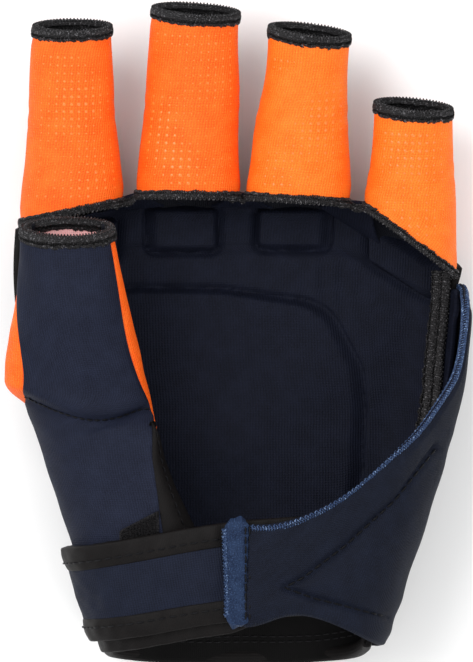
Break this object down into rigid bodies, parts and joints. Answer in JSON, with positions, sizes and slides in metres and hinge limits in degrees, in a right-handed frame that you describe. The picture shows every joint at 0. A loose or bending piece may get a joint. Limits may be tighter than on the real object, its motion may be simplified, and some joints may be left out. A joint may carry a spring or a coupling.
{
  "type": "padded sports glove",
  "caption": "Left-hand field hockey glove with an open palm, half-finger knitted sleeves, back pads and a wrap strap over the wrist.",
  "frame": {"origin": "on the floor under the middle of the glove's bounding box, the glove lying on its back with the palm up", "axes": "+Z out of the palm, +Y from the cuff to the fingertips, +X from the thumb side to the little finger side"},
  "size_m": [0.135, 0.1903, 0.0574],
  "materials": {
    "navy_lining": "fine jersey over thin foam, navy",
    "navy_fabric": "laminated stretch fabric, navy",
    "black_overlock": "overlocked thread, black",
    "black_binding": "stretch binding tape, black",
    "cuff_neoprene": "neoprene sheet with a cloth face, black",
    "orange_knit": "stretch mesh knit with silicone dots, orange",
    "hook_tape": "woven hook and loop tape, black",
    "blue_overlock": "overlocked thread over a folded edge, blue",
    "pad_skin": "moulded skin, matt navy",
    "pad_foam": "closed-cell foam, dark grey",
    "back_fabric": "woven fabric, black"
  },
  "bodies": {
    "hand": {"back_liner": "navy_lining", "side_panel": "navy_lining", "side_overlock": "black_overlock", "index_side_panel": "navy_lining", "cuff_lining": "cuff_neoprene", "cuff_binding": "black_binding", "thumb_base_panel": "navy_fabric", "thumb_crotch_binding": "black_binding", "thumb_base_hook_patch": "hook_tape", "metacarpal_pad_cover": "pad_skin", "metacarpal_pad_foam": "pad_foam", "wrap_strap_base": "navy_fabric", "thumb_strap_base": "navy_fabric", "index_knuckle_pad_cover": "pad_skin", "index_knuckle_pad_foam": "pad_foam", "middle_knuckle_pad_cover": "pad_skin", "middle_knuckle_pad_foam": "pad_foam", "ring_knuckle_pad_cover": "pad_skin", "ring_knuckle_pad_foam": "pad_foam", "little_knuckle_pad_cover": "pad_skin", "little_knuckle_pad_foam": "pad_foam"},
    "index_proximal": {"index_proximal_sleeve": "orange_knit", "index_proximal_pad": "pad_skin", "index_root_binding": "black_overlock"},
    "index_distal": {"index_distal_sleeve": "orange_knit", "index_distal_pad": "pad_skin", "index_tip_binding": "black_overlock"},
    "middle_proximal": {"middle_proximal_sleeve": "orange_knit", "middle_proximal_pad": "pad_skin", "middle_root_binding": "black_overlock"},
    "middle_distal": {"middle_distal_sleeve": "orange_knit", "middle_distal_pad": "pad_skin", "middle_tip_binding": "black_overlock"},
    "ring_proximal": {"ring_proximal_sleeve": "orange_knit", "ring_proximal_pad": "pad_skin", "ring_root_binding": "black_overlock"},
    "ring_distal": {"ring_distal_sleeve": "orange_knit", "ring_distal_pad": "pad_skin", "ring_tip_binding": "black_overlock"},
    "little_proximal": {"little_proximal_sleeve": "orange_knit", "little_proximal_pad": "pad_skin", "little_root_binding": "black_overlock"},
    "little_distal": {"little_distal_sleeve": "orange_knit", "little_distal_pad": "pad_skin", "little_tip_binding": "black_overlock"},
    "thumb": {"thumb_front_panel": "navy_fabric", "thumb_outer_gusset": "orange_knit", "thumb_inner_gusset": "orange_knit", "thumb_back_panel": "back_fabric", "thumb_rim_binding": "black_overlock", "thumb_pad_cover": "pad_skin", "thumb_pad_foam": "pad_foam"},
    "wrap_strap": {"wrap_strap_panel": "navy_fabric", "wrap_strap_end_hem": "blue_overlock", "wrap_strap_overlock": "blue_overlock", "wrap_strap_hook_patch": "hook_tape"},
    "thumb_strap": {"thumb_strap_panel": "navy_fabric", "thumb_strap_top_binding": "black_binding", "thumb_strap_bottom_binding": "black_binding", "thumb_strap_loop_patch": "hook_tape"}
  },
  "joints": [
    {"name": "index_root_flex", "type": "hinge", "parent": "hand", "child": "index_proximal", "pos_m": [-0.048, 0.037, 0.019], "axis": [1, 0, 0], "range_deg": [0, 48]},
    {"name": "index_middle_flex", "type": "hinge", "parent": "index_proximal", "child": "index_distal", "pos_m": [-0.04785, 0.06286, 0.02172], "axis": [1, 0, 0], "range_deg": [0, 50]},
    {"name": "middle_root_flex", "type": "hinge", "parent": "hand", "child": "middle_proximal", "pos_m": [-0.0142, 0.0385, 0.019], "axis": [1, 0, 0], "range_deg": [0, 60]},
    {"name": "middle_middle_flex", "type": "hinge", "parent": "middle_proximal", "child": "middle_distal", "pos_m": [-0.01301, 0.06582, 0.02187], "axis": [1, 0, 0], "range_deg": [0, 55]},
    {"name": "ring_root_flex", "type": "hinge", "parent": "hand", "child": "ring_proximal", "pos_m": [0.0177, 0.038, 0.019], "axis": [1, 0, 0], "range_deg": [0, 60]},
    {"name": "ring_middle_flex", "type": "hinge", "parent": "ring_proximal", "child": "ring_distal", "pos_m": [0.01945, 0.0628, 0.02161], "axis": [1, 0, 0], "range_deg": [0, 55]},
    {"name": "little_root_flex", "type": "hinge", "parent": "hand", "child": "little_proximal", "pos_m": [0.0502, 0.026, 0.019], "axis": [1, 0, 0], "range_deg": [0, 50]},
    {"name": "little_middle_flex", "type": "hinge", "parent": "little_proximal", "child": "little_distal", "pos_m": [0.0508, 0.04588, 0.02109], "axis": [1, 0, 0], "range_deg": [0, 55]},
    {"name": "thumb_flex", "type": "hinge", "parent": "hand", "child": "thumb", "pos_m": [-0.046, -0.022, 0.034], "axis": [1, 0, 0], "range_deg": [0, 42]},
    {"name": "wrap_strap_open", "type": "hinge", "parent": "hand", "child": "wrap_strap", "pos_m": [0.06455, -0.022, 0.0304], "axis": [0.2149, 0.9766, 0], "range_deg": [0, 110]},
    {"name": "thumb_strap_open", "type": "hinge", "parent": "hand", "child": "thumb_strap", "pos_m": [-0.0518, -0.062, 0.0304], "axis": [0.2846, -0.9586, 0], "range_deg": [0, 66]}
  ],
  "couplings": [
    {"joint": "thumb_strap_open", "follows": "wrap_strap_open", "ratio": 0.6}
  ]
}
